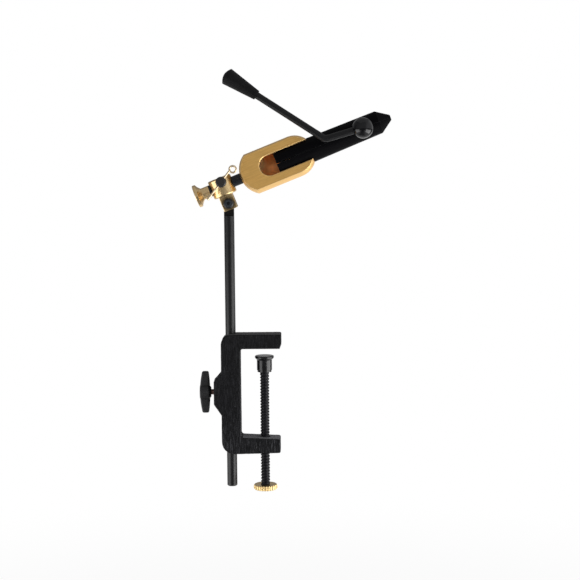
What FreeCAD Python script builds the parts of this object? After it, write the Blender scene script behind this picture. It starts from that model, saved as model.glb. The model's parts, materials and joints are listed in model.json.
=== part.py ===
import FreeCAD, Part
import math
import os

# Clamp-on fly tying vise. Millimetres, +Z up.
# The origin is the point on the clamp's upper arm, under its table face, that the clamp screw presses towards.
# +X runs from the stem to the open side of the clamp, and the lever lies on the -Y side.

# Clearances
running_clearance = 0.05
seat_clearance = 0.05
free_clearance = 0.4

# Clamp frame
stem_to_screw = 31.3
throat_height = 83.2
upper_arm_height = 13.6
lower_arm_height = 16.0
lower_arm_taper = 0.9
lower_arm_fall = 1.6
upper_arm_end = 47.4
lower_arm_end = 46.0
arm_tip_slant_width = 1.6
arm_tip_slant_height = 4.4
spine_outer = 9.0
spine_inner = 9.2
frame_depth = 21.0
upper_corner_radius = 10.0
lower_corner_radius = 12.0
throat_corner_radius = 2.5
boss_reach = 16.0
boss_top = -22.7
boss_slope_height = 8.0
boss_bottom = -62.3
boss_lower_slope_height = 10.2
frame_edge_radius = 1.1
arm_corner_radius = 1.5

# Stem and tongue
stem_diameter = 9.525
stem_bottom = -130.9
stem_chamfer = 0.8
tongue_width = 9.2
tongue_thickness = 6.0
tongue_reach = 12.0
tongue_shank_diameter = 5.5
tongue_shank_length = 30.0
tongue_groove_width = 3.0
tongue_groove_depth = 0.7
tongue_groove_drop = 20.0
tongue_screw_diameter = 4.0

# Wing screw
wing_height = -41.4
wing_shank_diameter = 5.6
wing_hub_centre = 24.0
wing_hub_length = 10.4
wing_hub_diameter = 14.6
wing_hub_taper = 2.6
wing_span = 39.0
wing_tip_thickness = 5.9
wing_depth = 6.4
wing_belly = 4.3
wing_edge_radius = 1.6
lock_shoe_length = 4.0

# Clamp screw, its pad and its knob
screw_diameter = 8.5
pad_top = -7.4
pad_bottom = -22.6
pad_flange_diameter = 17.8
pad_flange_height = 2.0
pad_body_diameter = 14.2
pad_taper_height = 2.0
pad_foot_diameter = 13.2
pad_foot_height = 1.8
screw_nose_diameter = 4.8
screw_ball_diameter = 6.8
screw_ball_drop = 7.6
pad_clip_wire = 1.0
knob_diameter = 22.4
knob_height = 4.4
knob_bottom = -134.4
knob_chamfer = 0.8
knob_flutes = 26
knob_flute_radius = 1.1

# Pivot between the stem and the head
pivot_height = 135.1
head_tilt = 21.7
head_roll = 1.7
pivot_drop = 16.7
pivot_bolt_diameter = 5.0
pivot_head_diameter = 9.6
pivot_head_height = 4.4
pivot_socket_width = 3.0
pivot_washer_diameter = 8.8
pivot_washer_thickness = 0.8
pivot_nut_width = 8.0
pivot_nut_height = 4.0
pivot_bolt_tail = 1.2

# Brass knuckle: barrel and fork
barrel_diameter = 22.2
barrel_top = 8.3
barrel_bottom = -9.2
barrel_edge_radius = 1.6
fork_width = 12.9
fork_depth = 17.4
fork_bottom = -22.9
fork_edge_radius = 0.6
spot_face_depth = 0.6

# Head shaft, washer and thumb nut
neck_diameter = 10.0
journal_diameter = 7.94
thread_diameter = 6.35
shaft_rear_end = -22.5
washer_diameter = 10.8
washer_thickness = 1.7
nut_hub_diameter = 10.8
nut_disc_diameter = 21.2
nut_disc_rear = -26.0
nut_disc_edge = 3.0
nut_flare_start = -19.2

# Tommy screw
tommy_along = 1.4
tommy_above = 3.9
tommy_head_diameter = 9.8
tommy_head_length = 8.4
tommy_head_gap = 1.4
tommy_shank_diameter = 5.0
tommy_shoe_length = 2.6
tommy_bar_diameter = 1.8
tommy_bar_angle = 30.5
tommy_bar_tail = 20.4
tommy_bead_diameter = 2.8
tommy_bead_length = 6.0
tommy_eye_centre = 15.7
tommy_eye_offset = 1.5
tommy_eye_radius = 3.0

# Brass body of the head
body_diameter = 38.5
body_dome_radius = 22.7
body_rear = 18.7
body_straight_end = 72.4
body_bore_diameter = 24.4
body_bore_end = 48.0
body_spot_depth = 0.6
body_socket_depth = 13.0
flat_depth = 9.4
flat_turn = 6.5
window_rear = 38.8
window_width = 18.4
window_edge_radius = 1.2
body_screw_along = 27.0
body_screw_diameter = 4.0

# Jaws
jaw_rear = 54.6
jaw_diameter = 23.0
jaw_taper_start = 89.5
jaw_shoulder = 155.4
jaw_shoulder_diameter = 21.3
jaw_tip = 167.2
jaw_tip_diameter = 5.0
jaw_split = 0.3
jaw_nose_split = 0.04
jaw_nose_length = 14.0
fulcrum_ahead = 4.6
fulcrum_diameter = 6.0
fulcrum_head_diameter = 8.0
fulcrum_head_height = 2.0
fulcrum_near_end = -6.5
spring_along = 61.5
spring_diameter = 7.0
spring_wire = 1.3
spring_length = 13.6
spring_turns = 5

# Cam and lever
cam_along = 138.8
cam_long_radius = 8.0
cam_short_radius = 3.5
cam_half_width = 6.5
cam_shaft_diameter = 8.0
cam_collar_diameter = 13.0
cam_collar_height = 3.6
cam_screw_diameter = 3.6
cam_screw_head_diameter = 7.0
cam_screw_head_height = 2.2
near_collar_diameter = 11.0
near_collar_height = 1.8
lever_travel = 30.0
ball_diameter = 19.0
ball_centre = -23.0
rod_diameter = 6.35
rod_bend_back = 35.2
rod_bend_up = 3.4
rod_rise = 54.6
rod_bend_radius = 6.5
grip_start = 73.1
grip_length = 32.4
grip_dome = 2.5
grip_small_diameter = 9.1
grip_large_diameter = 15.6
grip_edge_radius = 0.8
grip_rod_depth = 24.0

# Places that follow from the sizes
stem_x = -stem_to_screw
stem_radius = stem_diameter / 2
stem_top = pivot_height - tongue_reach
neck_end = body_rear + body_spot_depth
fulcrum_along = body_straight_end + fulcrum_ahead
cam_sine = math.sin(math.radians(lever_travel))
cam_cosine = math.cos(math.radians(lever_travel))
cam_reach = math.hypot(cam_short_radius * cam_cosine, cam_long_radius * cam_sine)
cam_peak = (cam_long_radius ** 2 - cam_short_radius ** 2) * cam_sine * cam_cosine / cam_reach
jaw_swing = math.degrees(math.asin((cam_reach - cam_short_radius) / (cam_along - fulcrum_along - cam_peak)))
head_origin = FreeCAD.Vector(
    stem_x - pivot_drop * math.sin(math.radians(head_tilt)),
    0,
    pivot_height + pivot_drop * math.cos(math.radians(head_tilt)),
)
tilted = FreeCAD.Rotation(FreeCAD.Vector(0, 1, 0), -head_tilt)
rolled = FreeCAD.Rotation(FreeCAD.Vector(1, 0, 0), -head_roll)
knuckle_place = FreeCAD.Placement(head_origin, tilted)
head_place = FreeCAD.Placement(head_origin, tilted.multiply(rolled))


def at(x, y, z):
    return FreeCAD.Vector(x, y, z)


def rod(radius, start, end):
    """A round bar between two points."""
    path = end.sub(start)
    return Part.makeCylinder(radius, path.Length, start, path)


def block(low, high):
    size = high.sub(low)
    return Part.makeBox(size.x, size.y, size.z, low)


def outline_face(edges):
    return Part.Face(Part.Wire(edges))


def chain(points):
    """Edges through the points; a point given as (middle, end) makes an arc."""
    edges = []
    here = points[0]
    for step in points[1:]:
        if isinstance(step, tuple):
            edges.append(Part.Arc(here, step[0], step[1]).toShape())
            here = step[1]
        else:
            edges.append(Part.LineSegment(here, step).toShape())
            here = step
    return edges


def turned(points, base=at(0, 0, 0), axis=at(1, 0, 0)):
    """A turned piece: (along, radius) points, closed on the axis, turned about the X line, then laid on an axis."""
    flat = [at(*p[0], 0) if len(p) == 1 else (at(*p[0], 0), at(*p[1], 0)) for p in points]
    edges = chain(flat)
    first = points[0][-1]
    last = points[-1][-1]
    edges.append(Part.LineSegment(at(*last, 0), at(*first, 0)).toShape())
    solid = outline_face(edges).revolve(at(0, 0, 0), at(1, 0, 0), 360)
    solid.Placement = FreeCAD.Placement(base, FreeCAD.Rotation(at(1, 0, 0), axis))
    return solid


def hexagon(width, height, base, axis):
    """A six-sided prism, measured across its flats."""
    corner = width / 2 / math.cos(math.radians(30))
    points = [at(corner * math.cos(math.radians(60 * k)), corner * math.sin(math.radians(60 * k)), 0)
              for k in range(7)]
    prism = Part.Face(Part.makePolygon(points)).extrude(at(0, 0, height))
    prism.Placement = FreeCAD.Placement(base, FreeCAD.Rotation(at(0, 0, 1), axis))
    return prism


def rounded(shape, radius, chosen):
    """Rounds the edges that the chooser picks by their middle point."""
    edges = [e for e in shape.Edges if chosen(e, e.valueAt((e.FirstParameter + e.LastParameter) / 2))]
    return shape.makeFillet(radius, edges) if edges else shape


def socket_screw(diameter, length, head_diameter, head_height, tip, axis, socket):
    """A round-headed screw whose point is at tip, with its head outwards along axis."""
    head_start = length
    screw = turned([
        ((0, 0),),
        ((0, diameter / 2),),
        ((head_start, diameter / 2),),
        ((head_start, head_diameter / 2),),
        ((head_start + head_height * 0.55, head_diameter / 2),),
        ((head_start + head_height * 0.9, head_diameter * 0.43), (head_start + head_height, head_diameter * 0.3)),
        ((head_start + head_height, 0),),
    ], tip, axis)
    depth = head_height * 0.6
    base = tip.add(FreeCAD.Vector(axis).normalize().multiply(head_start + head_height - depth))
    return screw.cut(hexagon(socket, depth + 1, base, axis))


def grub_screw(diameter, length, tip, axis):
    """A headless screw with a hexagon socket."""
    screw = turned([
        ((0, 0),),
        ((0, diameter * 0.28),),
        ((diameter * 0.2, diameter / 2),),
        ((length, diameter / 2),),
        ((length, 0),),
    ], tip, axis)
    depth = length * 0.4
    base = tip.add(FreeCAD.Vector(axis).normalize().multiply(length - depth))
    return screw.cut(hexagon(diameter * 0.5, depth + 1, base, axis))


def clamp_frame():
    left = stem_x - spine_outer
    inner = stem_x + spine_inner
    top = upper_arm_height
    floor = -throat_height
    bottom = floor - lower_arm_height
    upper_end = stem_x + upper_arm_end
    lower_end = stem_x + lower_arm_end
    boss = stem_x - boss_reach
    bend = math.sqrt(0.5)

    def corner(cx, cz, radius, sx, sz):
        return at(cx + sx * bend * radius, 0, cz + sz * bend * radius)

    small = arm_corner_radius
    points = [
        at(left + upper_corner_radius, 0, top),
        at(upper_end - small, 0, top),
        (corner(upper_end - small, top - small, small, 1, 1), at(upper_end, 0, top - small)),
        at(upper_end, 0, arm_tip_slant_height),
        at(upper_end - arm_tip_slant_width, 0, 0),
        at(inner + throat_corner_radius, 0, 0),
        (corner(inner + throat_corner_radius, -throat_corner_radius, throat_corner_radius, -1, 1),
         at(inner, 0, -throat_corner_radius)),
        at(inner, 0, floor + throat_corner_radius),
        (corner(inner + throat_corner_radius, floor + throat_corner_radius, throat_corner_radius, -1, -1),
         at(inner + throat_corner_radius, 0, floor)),
        at(lower_end - small, 0, floor - lower_arm_fall),
        (corner(lower_end - small, floor - lower_arm_fall - small, small, 1, 1),
         at(lower_end, 0, floor - lower_arm_fall - small)),
        at(lower_end, 0, bottom + lower_arm_taper + small),
        (corner(lower_end - small, bottom + lower_arm_taper + small, small, 1, -1),
         at(lower_end - small, 0, bottom + lower_arm_taper)),
        at(left + lower_corner_radius, 0, bottom),
        (corner(left + lower_corner_radius, bottom + lower_corner_radius, lower_corner_radius, -1, -1),
         at(left, 0, bottom + lower_corner_radius)),
        at(left, 0, boss_bottom),
        at(boss, 0, boss_bottom + boss_lower_slope_height),
        at(boss, 0, boss_top - boss_slope_height),
        at(left, 0, boss_top),
        at(left, 0, top - upper_corner_radius),
        (corner(left + upper_corner_radius, top - upper_corner_radius, upper_corner_radius, -1, 1),
         at(left + upper_corner_radius, 0, top)),
    ]
    frame = outline_face(chain(points)).extrude(at(0, frame_depth, 0))
    frame.translate(at(0, -frame_depth / 2, 0))
    frame = rounded(frame, frame_edge_radius, lambda e, m: abs(abs(m.y) - frame_depth / 2) < 0.01)
    frame = frame.cut(rod(stem_radius + running_clearance, at(stem_x, 0, bottom - 1), at(stem_x, 0, top + 1)))
    frame = frame.cut(rod(wing_shank_diameter / 2 + running_clearance, at(boss - 1, 0, wing_height),
                          at(stem_x, 0, wing_height)))
    return frame.cut(rod(screw_diameter / 2 + running_clearance, at(0, 0, bottom - 1), at(0, 0, floor + 1)))


def stem():
    x = stem_x
    bar = rod(stem_radius, at(x, 0, stem_bottom), at(x, 0, stem_top))
    bar = bar.makeChamfer(stem_chamfer, [e for e in bar.Edges if abs(e.CenterOfMass.z - stem_bottom) < 0.01
                                         and len(e.Vertexes) == 1])
    hole = rod(tongue_shank_diameter / 2 + running_clearance,
               at(x, 0, stem_top - tongue_shank_length - free_clearance), at(x, 0, stem_top + 1))
    side = rod(tongue_screw_diameter / 2, at(x, 0, stem_top - tongue_groove_drop),
               at(x, stem_diameter, stem_top - tongue_groove_drop))
    return bar.cut(hole).cut(side)


def stem_tongue():
    x = stem_x
    base = stem_top + seat_clearance
    half = tongue_width / 2
    plate = block(at(x - half, -tongue_thickness / 2, base), at(x + half, tongue_thickness / 2, pivot_height))
    eye = rod(half, at(x, -tongue_thickness / 2, pivot_height), at(x, tongue_thickness / 2, pivot_height))
    shank = rod(tongue_shank_diameter / 2, at(x, 0, stem_top - tongue_shank_length), at(x, 0, base))
    groove_z = stem_top - tongue_groove_drop
    groove = rod(tongue_shank_diameter, at(x, 0, groove_z - tongue_groove_width / 2),
                 at(x, 0, groove_z + tongue_groove_width / 2))
    core = rod(tongue_shank_diameter / 2 - tongue_groove_depth, at(x, 0, groove_z - tongue_groove_width),
               at(x, 0, groove_z + tongue_groove_width))
    shank = shank.cut(groove.cut(core))
    hole = rod(pivot_bolt_diameter / 2 + running_clearance, at(x, -tongue_thickness, pivot_height),
               at(x, tongue_thickness, pivot_height))
    return plate.fuse(eye).fuse(shank).cut(hole).removeSplitter()


def tongue_screw():
    groove_floor = tongue_shank_diameter / 2 - tongue_groove_depth
    z = stem_top - tongue_groove_drop
    tip = at(stem_x, groove_floor + 2 * seat_clearance, z)
    length = math.sqrt(stem_radius ** 2 - (tongue_screw_diameter / 2) ** 2) - tip.y
    point = rod(tongue_groove_width / 2 - 2 * running_clearance, tip, at(stem_x, tip.y + length, z))
    body = rod(tongue_screw_diameter / 2, at(stem_x, tongue_shank_diameter / 2 + 3 * running_clearance, z),
               at(stem_x, tip.y + length, z))
    screw = point.fuse(body).removeSplitter()
    depth = 1.2
    return screw.cut(hexagon(2.0, depth + 1, at(stem_x, tip.y + length - depth, z), at(0, 1, 0)))


def lock_shoe():
    radius = wing_shank_diameter / 2
    tip = stem_x - stem_radius + 1.0
    start = stem_x - stem_radius - lock_shoe_length
    plug = rod(radius, at(start, 0, wing_height), at(tip, 0, wing_height))
    return plug.cut(rod(stem_radius + seat_clearance, at(stem_x, 0, wing_height - 2 * radius),
                        at(stem_x, 0, wing_height + 2 * radius)))


def wing_shank():
    start = stem_x - stem_radius - lock_shoe_length - seat_clearance
    end = stem_x - wing_hub_centre - wing_hub_length / 2 + 2.0
    return rod(wing_shank_diameter / 2, at(end, 0, wing_height), at(start, 0, wing_height))


def wing_head():
    centre = stem_x - wing_hub_centre
    half_span = wing_span / 2
    tip = wing_tip_thickness / 2
    hub = wing_hub_length / 2
    points = [
        at(-tip, 0, half_span),
        at(tip, 0, half_span),
        (at(wing_belly, 0, 0), at(tip, 0, -half_span)),
        at(-tip, 0, -half_span),
        (at(-hub, 0, 0), at(-tip, 0, half_span)),
    ]
    wings = outline_face(chain(points)).extrude(at(0, wing_depth, 0))
    wings.translate(at(0, -wing_depth / 2, 0))
    wings = wings.makeFillet(wing_edge_radius, wings.Edges)
    boss = turned([
        ((-hub, 0),),
        ((-hub, wing_hub_diameter / 2 - 1.2),),
        ((-hub + 1.2, wing_hub_diameter / 2),),
        ((hub - wing_hub_taper, wing_hub_diameter / 2),),
        ((hub, wing_hub_diameter / 2 - wing_hub_taper),),
        ((hub, 0),),
    ])
    head = wings.fuse(boss).removeSplitter()
    head.translate(at(centre, 0, wing_height))
    hole = rod(wing_shank_diameter / 2, at(centre - hub + 2.0, 0, wing_height), at(centre + hub + 1, 0, wing_height))
    return head.cut(hole)


def clamp_screw():
    ball_z = pad_top - screw_ball_drop
    shoulder = pad_bottom - 0.5
    shaft = rod(screw_diameter / 2, at(0, 0, knob_bottom), at(0, 0, shoulder))
    shaft = shaft.makeChamfer(0.7, [e for e in shaft.Edges if abs(e.CenterOfMass.z - shoulder) < 0.01
                                    and len(e.Vertexes) == 1])
    nose = rod(screw_nose_diameter / 2, at(0, 0, shoulder), at(0, 0, ball_z))
    ball = Part.makeSphere(screw_ball_diameter / 2, at(0, 0, ball_z))
    return shaft.fuse(nose).fuse(ball).removeSplitter()


def clamp_pad():
    r_flange = pad_flange_diameter / 2
    r_body = pad_body_diameter / 2
    r_foot = pad_foot_diameter / 2
    height = pad_top - pad_bottom
    taper_end = pad_flange_height + pad_taper_height
    pad = turned([
        ((0, 0),),
        ((0, r_flange - 0.9),),
        ((0.3, r_flange - 0.25), (0.9, r_flange)),
        ((pad_flange_height, r_flange),),
        ((taper_end, r_body),),
        ((height - pad_foot_height, r_body),),
        ((height - pad_foot_height + 0.4, r_foot),),
        ((height, r_foot),),
        ((height, 0),),
    ], at(0, 0, pad_top), at(0, 0, -1))
    socket = screw_ball_diameter / 2 + 4 * running_clearance
    ball_z = pad_top - screw_ball_drop
    hollow = rod(socket, at(0, 0, pad_bottom - 1), at(0, 0, ball_z)).fuse(Part.makeSphere(socket, at(0, 0, ball_z)))
    clip_radius, clip_z = clip_size()
    groove = Part.makeTorus(clip_radius, pad_clip_wire / 2 + running_clearance, at(0, 0, clip_z), at(0, 0, 1))
    return pad.cut(hollow).cut(groove)


def clip_size():
    """Middle radius and height of the wire ring that keeps the ball in the pad."""
    radius = (screw_ball_diameter + running_clearance) / 2
    reach = (screw_ball_diameter + pad_clip_wire) / 2 + 2 * running_clearance
    return radius, pad_top - screw_ball_drop - math.sqrt(reach ** 2 - radius ** 2)


def pad_clip():
    clip_radius, clip_z = clip_size()
    return Part.makeTorus(clip_radius, pad_clip_wire / 2, at(0, 0, clip_z), at(0, 0, 1), -180, 180, 320)


def clamp_knob():
    radius = knob_diameter / 2
    knob = turned([
        ((0, 0),),
        ((0, radius - knob_chamfer),),
        ((knob_chamfer, radius),),
        ((knob_height - knob_chamfer, radius),),
        ((knob_height, radius - knob_chamfer),),
        ((knob_height, 0),),
    ], at(0, 0, knob_bottom), at(0, 0, 1))
    reach = radius + knob_flute_radius * 0.35
    cutters = []
    for k in range(knob_flutes):
        angle = 2 * math.pi * k / knob_flutes
        x = reach * math.cos(angle)
        y = reach * math.sin(angle)
        cutters.append(rod(knob_flute_radius, at(x, y, knob_bottom - 1), at(x, y, knob_bottom + knob_height + 1)))
    hole = rod(screw_diameter / 2, at(0, 0, knob_bottom - 1), at(0, 0, knob_bottom + knob_height + 1))
    return knob.cut(Part.makeCompound(cutters)).cut(hole)


def knuckle():
    """Barrel with the fork under it, in the head's frame: X along the shaft, Z up the barrel."""
    radius = barrel_diameter / 2
    barrel = rod(radius, at(0, 0, barrel_bottom), at(0, 0, barrel_top))
    barrel = rounded(barrel, barrel_edge_radius, lambda e, m: len(e.Vertexes) == 1)
    fork = block(at(-fork_width / 2, -fork_depth / 2, fork_bottom), at(fork_width / 2, fork_depth / 2, 0))
    fork = rounded(fork, fork_edge_radius, lambda e, m: m.z < barrel_bottom)
    body = barrel.fuse(fork).removeSplitter()
    gap = tongue_thickness / 2 + pivot_washer_thickness + seat_clearance
    ceiling = -pivot_drop + tongue_width / 2 + 1.0
    body = body.cut(block(at(-radius, -gap, fork_bottom - 1), at(radius, gap, ceiling)))
    pin = at(0, 0, -pivot_drop)
    body = body.cut(rod(pivot_bolt_diameter / 2 + running_clearance, pin.add(at(0, -fork_depth, 0)),
                        pin.add(at(0, fork_depth, 0))))
    seat = radius - spot_face_depth
    body = body.cut(rod(journal_diameter / 2 + running_clearance, at(-2 * radius, 0, 0), at(2 * radius, 0, 0)))
    face_radius = neck_diameter / 2 + free_clearance
    body = body.cut(rod(face_radius, at(seat, 0, 0), at(2 * radius, 0, 0)))
    body = body.cut(rod(face_radius, at(-2 * radius, 0, 0), at(-seat, 0, 0)))
    return body.cut(rod(tommy_shank_diameter / 2 + running_clearance, at(tommy_along, -2 * radius, tommy_above),
                        at(tommy_along, 0, tommy_above)))


def barrel_seat():
    return barrel_diameter / 2 - spot_face_depth


def pivot_bolt():
    tip_y = fork_depth / 2 + pivot_nut_height + pivot_bolt_tail
    length = tip_y + fork_depth / 2
    return socket_screw(pivot_bolt_diameter, length, pivot_head_diameter, pivot_head_height,
                        at(0, tip_y, -pivot_drop), at(0, -1, 0), pivot_socket_width)


def pivot_nut():
    nut = hexagon(pivot_nut_width, pivot_nut_height, at(0, fork_depth / 2, -pivot_drop), at(0, 1, 0))
    return nut.cut(rod(pivot_bolt_diameter / 2, at(0, 0, -pivot_drop), at(0, 3 * fork_depth, -pivot_drop)))


def pivot_washers():
    solids = []
    for side in (-1, 1):
        start = side * (tongue_thickness / 2 + seat_clearance)
        end = start + side * pivot_washer_thickness
        ring = rod(pivot_washer_diameter / 2, at(0, start, -pivot_drop), at(0, end, -pivot_drop))
        hole = rod(pivot_bolt_diameter / 2 + running_clearance, at(0, -fork_depth, -pivot_drop),
                   at(0, fork_depth, -pivot_drop))
        solids.append(ring.cut(hole))
    return Part.makeCompound(solids)


def head_shaft():
    seat = barrel_seat()
    journal_end = -seat + 0.3
    neck_start = seat + seat_clearance
    shaft = rod(thread_diameter / 2, at(shaft_rear_end, 0, 0), at(journal_end, 0, 0))
    shaft = shaft.fuse(rod(journal_diameter / 2, at(journal_end, 0, 0), at(neck_start, 0, 0)))
    shaft = shaft.fuse(rod(neck_diameter / 2, at(neck_start, 0, 0), at(neck_end, 0, 0)))
    shaft = shaft.fuse(rod(journal_diameter / 2, at(neck_end, 0, 0), at(neck_end + body_socket_depth, 0, 0)))
    return shaft.removeSplitter()


def tension_washer():
    start = -barrel_seat() - seat_clearance
    ring = rod(washer_diameter / 2, at(start, 0, 0), at(start - washer_thickness, 0, 0))
    return ring.cut(rod(thread_diameter / 2 + running_clearance, at(0, 0, 0), at(2 * start, 0, 0)))


def thumb_nut():
    front = -barrel_seat() - 2 * seat_clearance - washer_thickness
    hub = nut_hub_diameter / 2
    disc = nut_disc_diameter / 2
    rim_front = nut_disc_rear + nut_disc_edge
    nut = turned([
        ((nut_disc_rear, 0),),
        ((nut_disc_rear, disc - 0.5),),
        ((nut_disc_rear + 0.15, disc - 0.15), (nut_disc_rear + 0.5, disc)),
        ((rim_front - 0.3, disc),),
        ((rim_front, disc - 0.4),),
        ((rim_front + 2.0, hub + 1.7), (nut_flare_start, hub)),
        ((front, hub),),
        ((front, 0),),
    ])
    return nut.cut(rod(thread_diameter / 2 + running_clearance, at(shaft_rear_end - free_clearance, 0, 0),
                       at(0, 0, 0)))


def tommy_start():
    """Y of the underside of the tommy screw's head."""
    return -math.sqrt((barrel_diameter / 2) ** 2 - tommy_along ** 2) - tommy_head_gap


def shoe_contact():
    """Y where the shoe meets the head shaft."""
    return -math.sqrt((journal_diameter / 2) ** 2 - tommy_low() ** 2)


def tommy_low():
    return max(tommy_above - tommy_shank_diameter / 2, 0)


def tommy_shoe():
    radius = tommy_shank_diameter / 2
    outer = shoe_contact() - tommy_shoe_length
    plug = rod(radius, at(tommy_along, outer, tommy_above), at(tommy_along, -0.3, tommy_above))
    return plug.cut(rod(journal_diameter / 2 + seat_clearance, at(-barrel_diameter, 0, 0), at(barrel_diameter, 0, 0)))


def tommy_screw():
    head_start = tommy_start()
    tip = shoe_contact() - tommy_shoe_length - seat_clearance
    radius = tommy_head_diameter / 2
    length = tip - head_start
    screw = turned([
        ((0, 0),),
        ((0, tommy_shank_diameter / 2),),
        ((length, tommy_shank_diameter / 2),),
        ((length, radius - 0.4),),
        ((length + 0.4, radius),),
        ((length + tommy_head_length - 1.6, radius),),
        ((length + tommy_head_length - 0.5, radius - 0.5), (length + tommy_head_length, radius - 1.8)),
        ((length + tommy_head_length, 0),),
    ], at(tommy_along, tip, tommy_above), at(0, -1, 0))
    reach = along_bar(2 * radius)
    hole = rod(tommy_bar_diameter / 2 + 2 * running_clearance, bar_centre().sub(reach), bar_centre().add(reach))
    return screw.cut(hole)


def bar_centre():
    return at(tommy_along, tommy_start() - tommy_head_length / 2, tommy_above)


def along_bar(distance):
    angle = math.radians(tommy_bar_angle)
    return at(distance * math.cos(angle), 0, distance * math.sin(angle))


def tommy_bar():
    """Thin bar with a bead on one end and an eye, bent to one side, on the other."""
    centre = bar_centre()
    sideways = FreeCAD.Rotation(at(0, 1, 0), 90).multVec(along_bar(tommy_eye_offset))
    eye = centre.add(along_bar(tommy_eye_centre)).add(sideways)
    ring = Part.makeTorus(tommy_eye_radius, tommy_bar_diameter / 2, eye, at(0, 1, 0))
    meets = math.sqrt(tommy_eye_radius ** 2 - tommy_eye_offset ** 2)
    bar = rod(tommy_bar_diameter / 2, centre.add(along_bar(-tommy_bar_tail)),
              centre.add(along_bar(tommy_eye_centre - meets)))
    bead = rod(tommy_bead_diameter / 2, centre.add(along_bar(-tommy_bar_tail)),
               centre.add(along_bar(tommy_bead_length - tommy_bar_tail)))
    bead = rounded(bead, 0.5, lambda e, m: len(e.Vertexes) == 1)
    return ring.fuse(bar).fuse(bead).removeSplitter()


def fulcrum_seat():
    """How far from the middle the fulcrum pin's head sits, sunk below the body's round nose."""
    head_radius = fulcrum_head_diameter / 2
    skin = math.sqrt((body_diameter / 2) ** 2 - (fulcrum_ahead + head_radius) ** 2)
    return math.sqrt(skin ** 2 - head_radius ** 2) - fulcrum_head_height


def head_body():
    """Brass body, in the head's frame: a turned bar, flat in front, where a window opens its bore."""
    radius = body_diameter / 2
    sagitta = body_dome_radius - math.sqrt(body_dome_radius ** 2 - radius ** 2)
    rear_centre = body_rear + body_dome_radius
    rear_corner = body_rear + sagitta
    front_apex = body_straight_end + radius
    middle = math.radians(30)
    half_turn = math.radians(45)
    body = turned([
        ((body_rear, 0),),
        ((rear_centre - body_dome_radius * math.cos(middle), body_dome_radius * math.sin(middle)),
         (rear_corner, radius)),
        ((body_straight_end, radius),),
        ((body_straight_end + radius * math.sin(half_turn), radius * math.cos(half_turn)), (front_apex, 0)),
    ])
    bore = body_bore_diameter / 2
    hollow = rod(bore, at(body_bore_end, 0, 0), at(front_apex + 1, 0, 0))
    hollow = hollow.fuse(Part.makeSphere(bore, at(body_bore_end, 0, 0)))
    half = window_width / 2
    window = block(at(window_rear + half, -body_diameter, -half), at(front_apex + 1, 0, half))
    window = window.fuse(rod(half, at(window_rear + half, -body_diameter, 0), at(window_rear + half, 0, 0)))
    front = block(at(body_rear - 1, -body_diameter, -body_diameter), at(front_apex + 1, -flat_depth, body_diameter))
    turn = FreeCAD.Rotation(at(1, 0, 0), -flat_turn)
    for cutter in (window, front):
        cutter.rotate(at(0, 0, 0), at(1, 0, 0), -flat_turn)
    body = body.cut(hollow.fuse(window).fuse(front))

    def window_edge(edge, middle):
        local = turn.inverted().multVec(middle)
        return abs(local.y + flat_depth) < 0.01 and abs(local.z) < half + 0.1 and local.x > window_rear - 0.1

    body = rounded(body, window_edge_radius, window_edge)
    body = body.cut(rod(journal_diameter / 2, at(0, 0, 0), at(neck_end + body_socket_depth, 0, 0)))
    body = body.cut(rod(neck_diameter / 2, at(0, 0, 0), at(neck_end, 0, 0)))
    body = body.cut(rod(fulcrum_diameter / 2, at(fulcrum_along, 0, 0), at(fulcrum_along, body_diameter, 0)))
    body = body.cut(rod(fulcrum_head_diameter / 2, at(fulcrum_along, fulcrum_seat(), 0),
                        at(fulcrum_along, body_diameter, 0)))
    return body.cut(rod(body_screw_diameter / 2, at(body_screw_along, 0, 0), at(body_screw_along, body_diameter, 0)))


def body_screw():
    dome = math.sqrt(body_dome_radius ** 2 - (body_rear + body_dome_radius - body_screw_along) ** 2)
    outer = math.sqrt(dome ** 2 - (body_screw_diameter / 2) ** 2) - 1.0
    return grub_screw(body_screw_diameter, outer - journal_diameter / 2,
                      at(body_screw_along, journal_diameter / 2, 0), at(0, 1, 0))


def fulcrum_pin():
    radius = body_diameter / 2
    seat = fulcrum_seat()
    pin = rod(fulcrum_diameter / 2, at(fulcrum_along, fulcrum_near_end, 0), at(fulcrum_along, seat, 0))
    head = rod(fulcrum_head_diameter / 2, at(fulcrum_along, seat, 0),
               at(fulcrum_along, seat + fulcrum_head_height - 0.2, 0))
    slot = block(at(fulcrum_along - 0.6, seat + fulcrum_head_height - 1.2, -radius),
                 at(fulcrum_along + 0.6, radius, radius))
    return pin.fuse(head).removeSplitter().cut(slot)


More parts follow.
